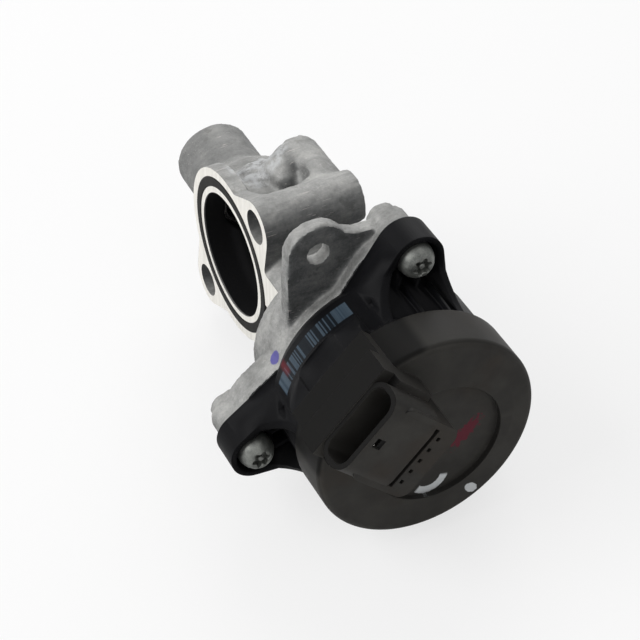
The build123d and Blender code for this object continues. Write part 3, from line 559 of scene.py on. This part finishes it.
# housing screws: domed heads with a pinned six-lobe recess, set by a node tree
def screwMesh():
    look = screwLook
    top = look["dome"][-1][1]
    floor = top - look["depth"]
    rings = [("round", look["shank"], look["low"]), ("round", look["shank"], -0.05)]
    rings += [("round", radius, high) for radius, high in look["dome"]]
    rings += [("star", 1.06, top + 0.05), ("star", 1.0, top - 0.15), ("star", 0.97, floor)]
    rings += [("round", look["pin"], floor), ("round", look["pin"], top - 0.4),
              ("round", look["pin"] * 0.7, top - 0.2)]
    form = bmesh.new()
    count = look["around"]
    loops = []
    for kind, size, high in rings:
        loop = []
        for step in range(count):
            turn = 2 * math.pi * step / count
            radius = size if kind == "round" else size * (look["lobe"] + look["wave"] * math.cos(6 * turn))
            spot = Vector((radius * math.cos(turn), radius * math.sin(turn), high))
            loop.append(form.verts.new(spot * mm))
        loops.append(loop)
    for low, high in zip(loops, loops[1:]):
        for step in range(count):
            after = (step + 1) % count
            form.faces.new((low[step], low[after], high[after], high[step]))
    form.faces.new(reversed(loops[0]))
    form.faces.new(loops[-1])
    mesh = meshFrom(form, "screwHead")
    shadeSmooth(mesh, 38)
    mesh.materials.append(finishes["zinc_steel"])
    return mesh


def screwTree():  # sets a screw at every place, each turned by chance
    tree = bpy.data.node_groups.new("screwSetting", "GeometryNodeTree")
    sockets = {"places": "Geometry", "screw": "Object", "size": "Float", "seed": "Int", "finish": "Material"}
    for name, kind in sockets.items():
        tree.interface.new_socket(name, in_out="INPUT", socket_type="NodeSocket" + kind)
    tree.interface.new_socket("result", in_out="OUTPUT", socket_type="NodeSocketGeometry")
    add, link = tree.nodes.new, tree.links.new
    start, end = add("NodeGroupInput"), add("NodeGroupOutput")
    shape, put = add("GeometryNodeObjectInfo"), add("GeometryNodeInstanceOnPoints")
    spin, turned = add("FunctionNodeRandomValue"), add("GeometryNodeRotateInstances")
    real, coat = add("GeometryNodeRealizeInstances"), add("GeometryNodeSetMaterial")
    spin.data_type = "FLOAT_VECTOR"
    spin.inputs[0].default_value = (0, 0, 0)
    spin.inputs[1].default_value = (0, 0, math.pi / 3)
    put.inputs["Rotation"].default_value = (math.pi / 2, 0, 0)
    link(start.outputs["screw"], shape.inputs["Object"])
    link(start.outputs["places"], put.inputs["Points"])
    link(shape.outputs["Geometry"], put.inputs["Instance"])
    link(start.outputs["size"], put.inputs["Scale"])
    link(put.outputs[0], turned.inputs["Instances"])
    link(start.outputs["seed"], spin.inputs["Seed"])
    link(spin.outputs[0], turned.inputs["Rotation"])
    link(turned.outputs[0], real.inputs[0])
    link(real.outputs[0], coat.inputs["Geometry"])
    link(start.outputs["finish"], coat.inputs["Material"])
    link(coat.outputs[0], end.inputs["result"])
    return tree


def buildScrews():
    pattern = addPiece("screwPattern", screwMesh())
    points = bpy.data.meshes.new("screwPlaces")
    points.from_pydata([placeOf(spot.x, spot.y, screwLook["seat"]) for spot in screwSpots()], [], [])
    piece = addPiece("housingScrews", points)
    setting = piece.modifiers.new("setting", "NODES")
    setting.node_group = screwTree()
    given = {"screw": pattern, "size": 1.0, "seed": screwLook["seed"], "finish": finishes["zinc_steel"]}
    for item in setting.node_group.interface.items_tree:
        if item.in_out == "INPUT" and item.name in given:
            setting[item.identifier] = given[item.name]
    settled(piece)
    bpy.data.objects.remove(pattern)
    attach(piece, "housing")
    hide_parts("housing_screws")
    print("housingScrews:", len(piece.data.polygons), "faces")


buildScrews()

# motor housing: the tower's foot drawn in over the barrel, ribs in the upper arm's pocket
motorHousing = {
    "barrel": 26.4, "sharp": 32,
    "flare": [(26.55, 60.1), (27.2, 62.5), (30.9, 69.4), (60.0, 69.4), (60.0, 60.1)],  # radius, w: cut away
    "sector": {"from": 52.0, "to": 128.0, "steps": 38},
    "ribs": [(33.7, 58.8, 71.5), (18.4, 58.4, 72.7)],  # angle, lower and upper w
    "ribForm": {"wide": 1.1, "out": 1.7, "back": 0.8, "slim": 0.7, "fade": 0.5},
}


def flareCutter():
    sector, flare = motorHousing["sector"], motorHousing["flare"]
    form = bmesh.new()
    rows = []
    for step in range(sector["steps"] + 1):
        turn = math.radians(sector["from"] + (sector["to"] - sector["from"]) * step / sector["steps"])
        rows.append([form.verts.new(placeOf(radius * math.cos(turn), radius * math.sin(turn), high))
                     for radius, high in flare])
    for row, following in zip(rows, rows[1:]):
        for index in range(len(flare)):
            after = (index + 1) % len(flare)
            form.faces.new((row[index], row[after], following[after], following[index]))
    form.faces.new(rows[0])
    form.faces.new(rows[-1])
    return form


def addRib(form, angle, low, high):  # stands on the barrel wall and fades upwards
    rib, barrel = motorHousing["ribForm"], motorHousing["barrel"]
    along = Vector((math.cos(math.radians(angle)), math.sin(math.radians(angle))))
    side = Vector((-along.y, along.x))
    for vert in bmesh.ops.create_cube(form, size=1.0)["verts"]:
        inner, lower = vert.co.x < 0, vert.co.z < 0
        reach = barrel - rib["back"] if inner else barrel + rib["out"] * (1.0 if lower else rib["fade"])
        wide = rib["wide"] / 2 * (1 if inner else rib["slim"]) * (-1 if vert.co.y < 0 else 1)
        spot = along * reach + side * wide
        vert.co = placeOf(spot.x, spot.y, low if lower else high)


def buildMotorHousing():
    piece = addPiece("motorHousing", weldedCopy("motorHousing", nodes["motor_housing"]))
    cutAway(piece, flareCutter(), "EXACT")
    form = bmesh.new()
    form.from_mesh(piece.data)
    for angle, low, high in motorHousing["ribs"]:
        addRib(form, angle, low, high)
    bmesh.ops.recalc_face_normals(form, faces=form.faces)
    form.to_mesh(piece.data)
    form.free()
    dressed(piece, "motor_housing", "black_plastic", motorHousing["sharp"])


buildMotorHousing()

# stage, lamps and camera
stageLook = {
    "floor": 0.86, "rough": 0.8, "below": 0.2, "reach": 6.0,  # the floor's tone, its place in mm and its size
    "world": 0.35, "white": 0.7,  # light from the world, and how far the floor goes to white for the camera
}


def floorPaper():
    material = bpy.data.materials.new("paleFloor")
    material.use_nodes = True
    tree = material.node_tree
    shader = tree.nodes["Principled BSDF"]
    shader.inputs["Base Color"].default_value = paint(*[stageLook["floor"]] * 3)
    shader.inputs["Roughness"].default_value = stageLook["rough"]
    straight = shaderValue(tree).make("ShaderNodeLightPath") * stageLook["white"]
    white, blend = tree.nodes.new("ShaderNodeEmission"), tree.nodes.new("ShaderNodeMixShader")
    tree.links.new(straight.socket, blend.inputs[0])
    tree.links.new(shader.outputs[0], blend.inputs[1])
    tree.links.new(white.outputs[0], blend.inputs[2])
    tree.links.new(blend.outputs[0], tree.nodes["Material Output"].inputs["Surface"])
    return material


def buildFloor():
    low = cadBox[0][2] - stageLook["below"] * mm
    reach = stageLook["reach"]
    mesh = bpy.data.meshes.new("studioFloor")
    mesh.from_pydata([(-reach, -reach, low), (reach, -reach, low), (reach, reach, low), (-reach, reach, low)],
                     [], [(0, 1, 2, 3)])
    mesh.materials.append(floorPaper())
    addPiece("studioFloor", mesh)


def buildWorld():  # dim as a light, white where it is seen, mirrored or looked at through something
    world = bpy.data.worlds.new("studio")
    world.use_nodes = True
    scene.world = world
    tree = world.node_tree
    start = shaderValue(tree)
    camera, glossy, through = (start.make("ShaderNodeLightPath", out=out) for out in (0, 3, 4))
    strength = (camera + glossy + through).limit() * (1 - stageLook["world"]) + stageLook["world"]
    tree.links.new(strength.socket, tree.nodes["Background"].inputs["Strength"])
    tree.nodes["Background"].inputs["Color"].default_value = paint(1, 1, 1)


lamps = {
    "key": {"at": (-0.85, 0.1, 0.7), "size": 0.8, "watts": 9.0},
    "fill": {"at": (0.1, -0.8, 0.9), "size": 1.0, "watts": 1.2},
    "rim": {"at": (0.5, 0.8, 0.6), "size": 0.8, "watts": 6.0},
}
lampAim = Vector((0.02, -0.03, 0.0))


def buildLamps():
    for name, lamp in lamps.items():
        data = bpy.data.lights.new(name, "AREA")
        data.size = lamp["size"]
        data.energy = lamp["watts"]
        made = addPiece(name, data)
        made.location = lamp["at"]
        made.rotation_euler = (Vector(lamp["at"]) - lampAim).to_track_quat("Z", "Y").to_euler()


cameraView = {  # its three directions, its shift and distance in mm, and its lens in pixels of the frame
    "right": (0.8976, -0.4402, -0.0230), "up": (0.3076, 0.5883, 0.7478), "back": (-0.3156, -0.6783, 0.6635),
    "shift": (-22.757, 16.583, -5.398), "distance": 530.0, "focal": 2105.93, "frame": 640.0, "sensor": 36.0,
}


def buildCamera():
    right, up, back = (Vector(cameraView[key]).normalized() for key in ("right", "up", "back"))
    turn = Matrix((right, up, back)).transposed()
    spot = turn @ (Vector((0, 0, cameraView["distance"])) - Vector(cameraView["shift"]))
    data = bpy.data.cameras.new("camera")
    data.sensor_width = cameraView["sensor"]
    data.lens = cameraView["sensor"] * cameraView["focal"] / cameraView["frame"]
    data.clip_start = 0.01
    made = addPiece("camera", data)
    made.matrix_world = Matrix.Translation(spot * mm) @ turn.to_4x4()
    scene.camera = made


buildFloor()
buildWorld()
buildLamps()
buildCamera()
scene.view_settings.view_transform = "Standard"
print("stage ready")
